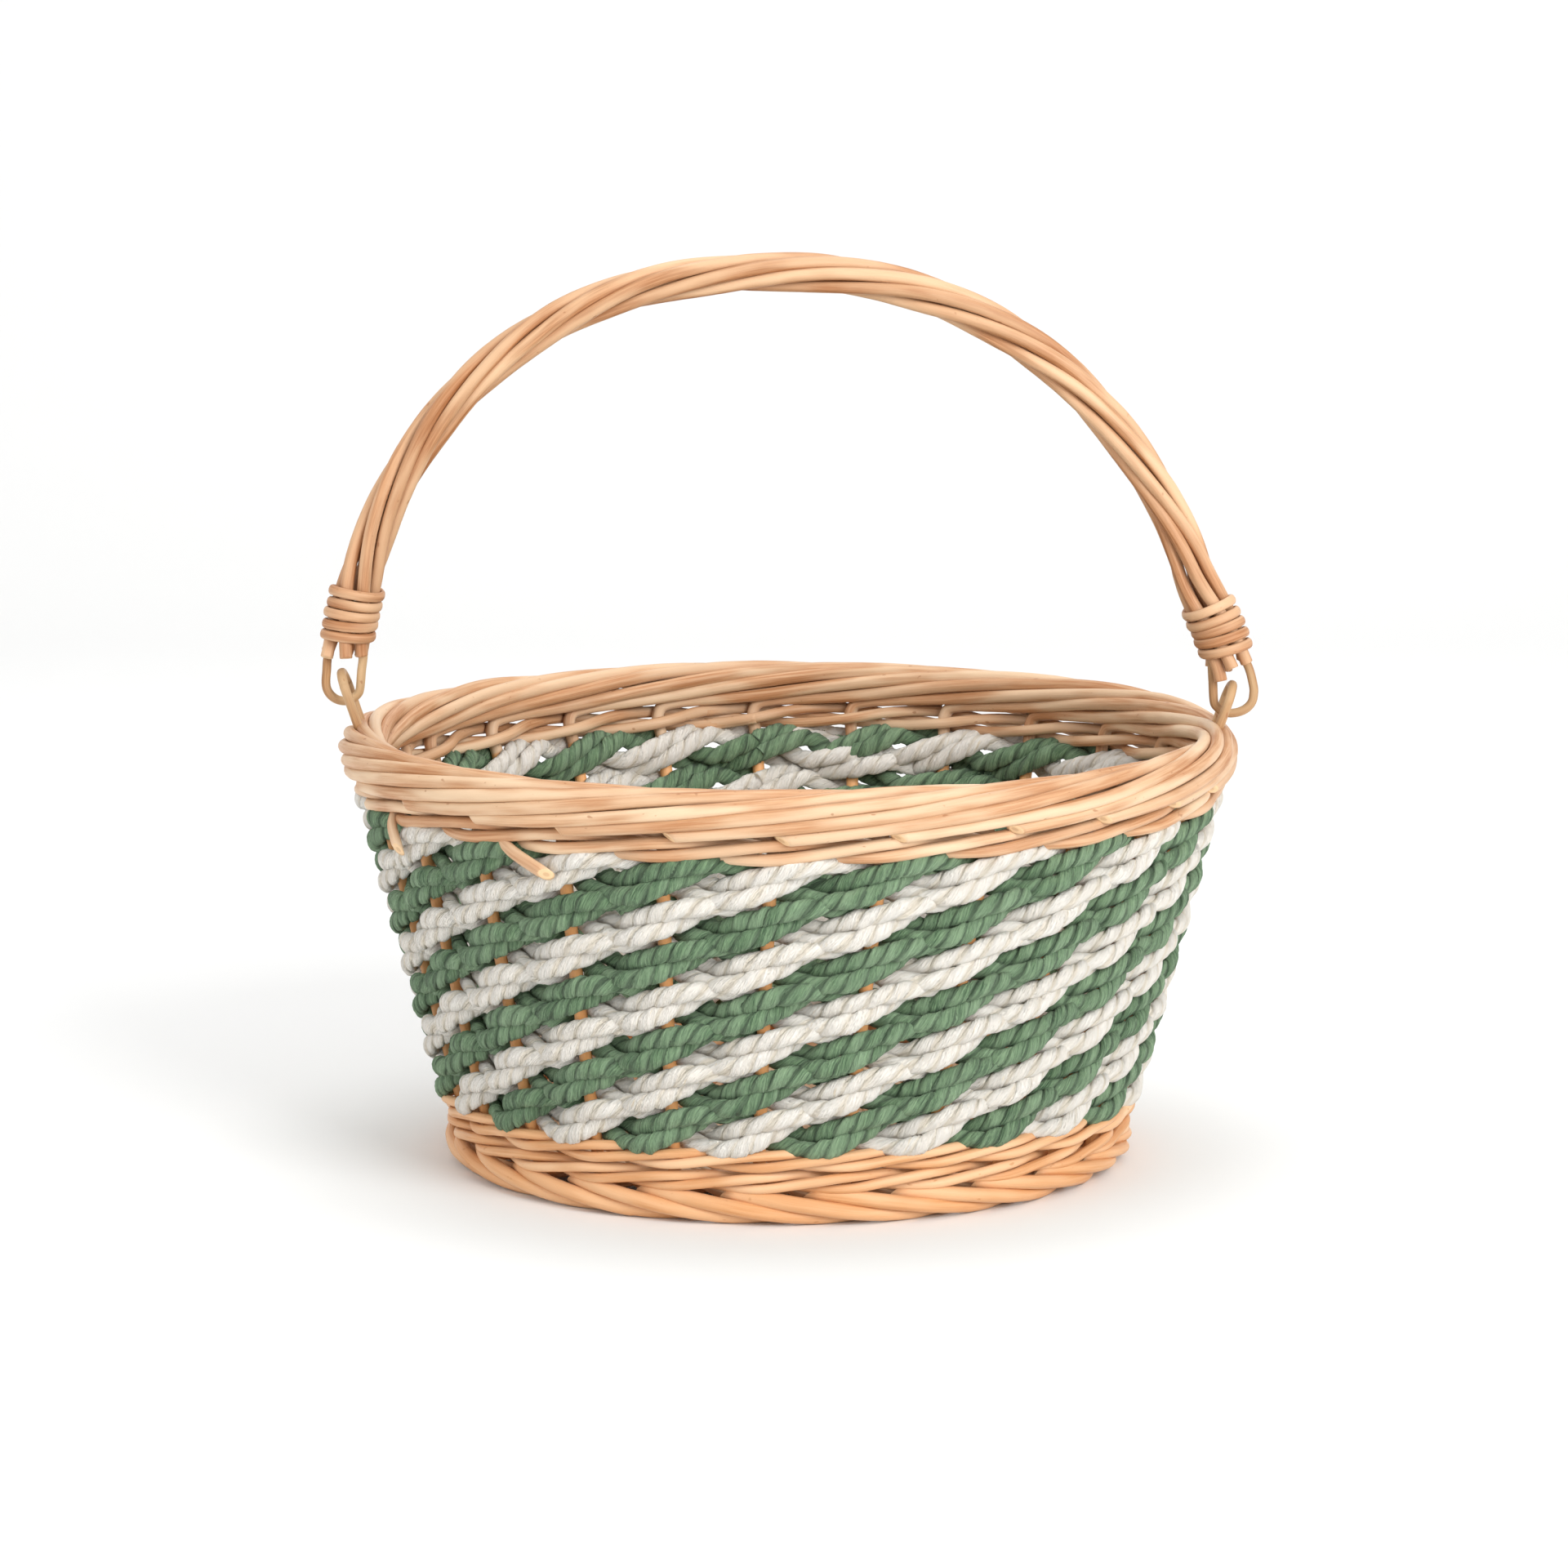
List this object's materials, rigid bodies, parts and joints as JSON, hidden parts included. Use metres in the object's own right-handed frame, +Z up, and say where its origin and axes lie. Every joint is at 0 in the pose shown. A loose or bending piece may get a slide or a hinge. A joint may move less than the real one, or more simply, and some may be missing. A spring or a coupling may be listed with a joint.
{
  "type": "easter basket",
  "caption": "Round willow basket with a flared wall of two-colour paired paper braids and a twisted willow handle hinged on cane loops.",
  "frame": {"origin": "centre of the foot, on the surface the basket stands on", "axes": "+Z up along the basket's axis, +X towards the right-hand handle link seen from the front, -Y towards the front"},
  "size_m": [0.3027, 0.2882, 0.2917],
  "materials": {
    "willow": "satin, peeled and buffed",
    "willow_thick": "satin, peeled and buffed",
    "rattan_cane": "satin",
    "paper_green": "matt twisted paper",
    "paper_white": "matt twisted paper"
  },
  "bodies": {
    "basket": {"base_sticks_pierced": "willow_thick", "base_sticks_through": "willow_thick", "base_weave": "willow", "stakes": "willow", "foot_border_rods": "willow_thick", "bottom_wale_1_rod_1": "willow", "bottom_wale_1_rod_2": "willow", "bottom_wale_1_rod_3": "willow", "bottom_wale_2_rod_1": "willow", "bottom_wale_2_rod_2": "willow", "bottom_wale_2_rod_3": "willow", "top_wale_rod_1": "willow", "top_wale_rod_2": "willow", "top_wale_rod_3": "willow", "green_braid": "paper_green", "white_braid": "paper_white", "rim_loop_left": "rattan_cane", "rim_loop_right": "rattan_cane"},
    "handle": {"handle_core_rod": "willow", "handle_rod_1": "willow", "handle_rod_2": "willow", "handle_rod_3": "willow", "handle_rod_4": "willow", "handle_rod_5": "willow", "handle_rod_6": "willow", "handle_binding_left": "willow", "handle_binding_right": "willow", "handle_loop_left": "rattan_cane", "handle_loop_right": "rattan_cane"}
  },
  "joints": [
    {"name": "handle_swing", "type": "hinge", "parent": "basket", "child": "handle", "pos_m": [-0.0005, 0, 0.1455], "axis": [0.9999, 0, -0.014], "range_deg": [-74, 74]}
  ]
}
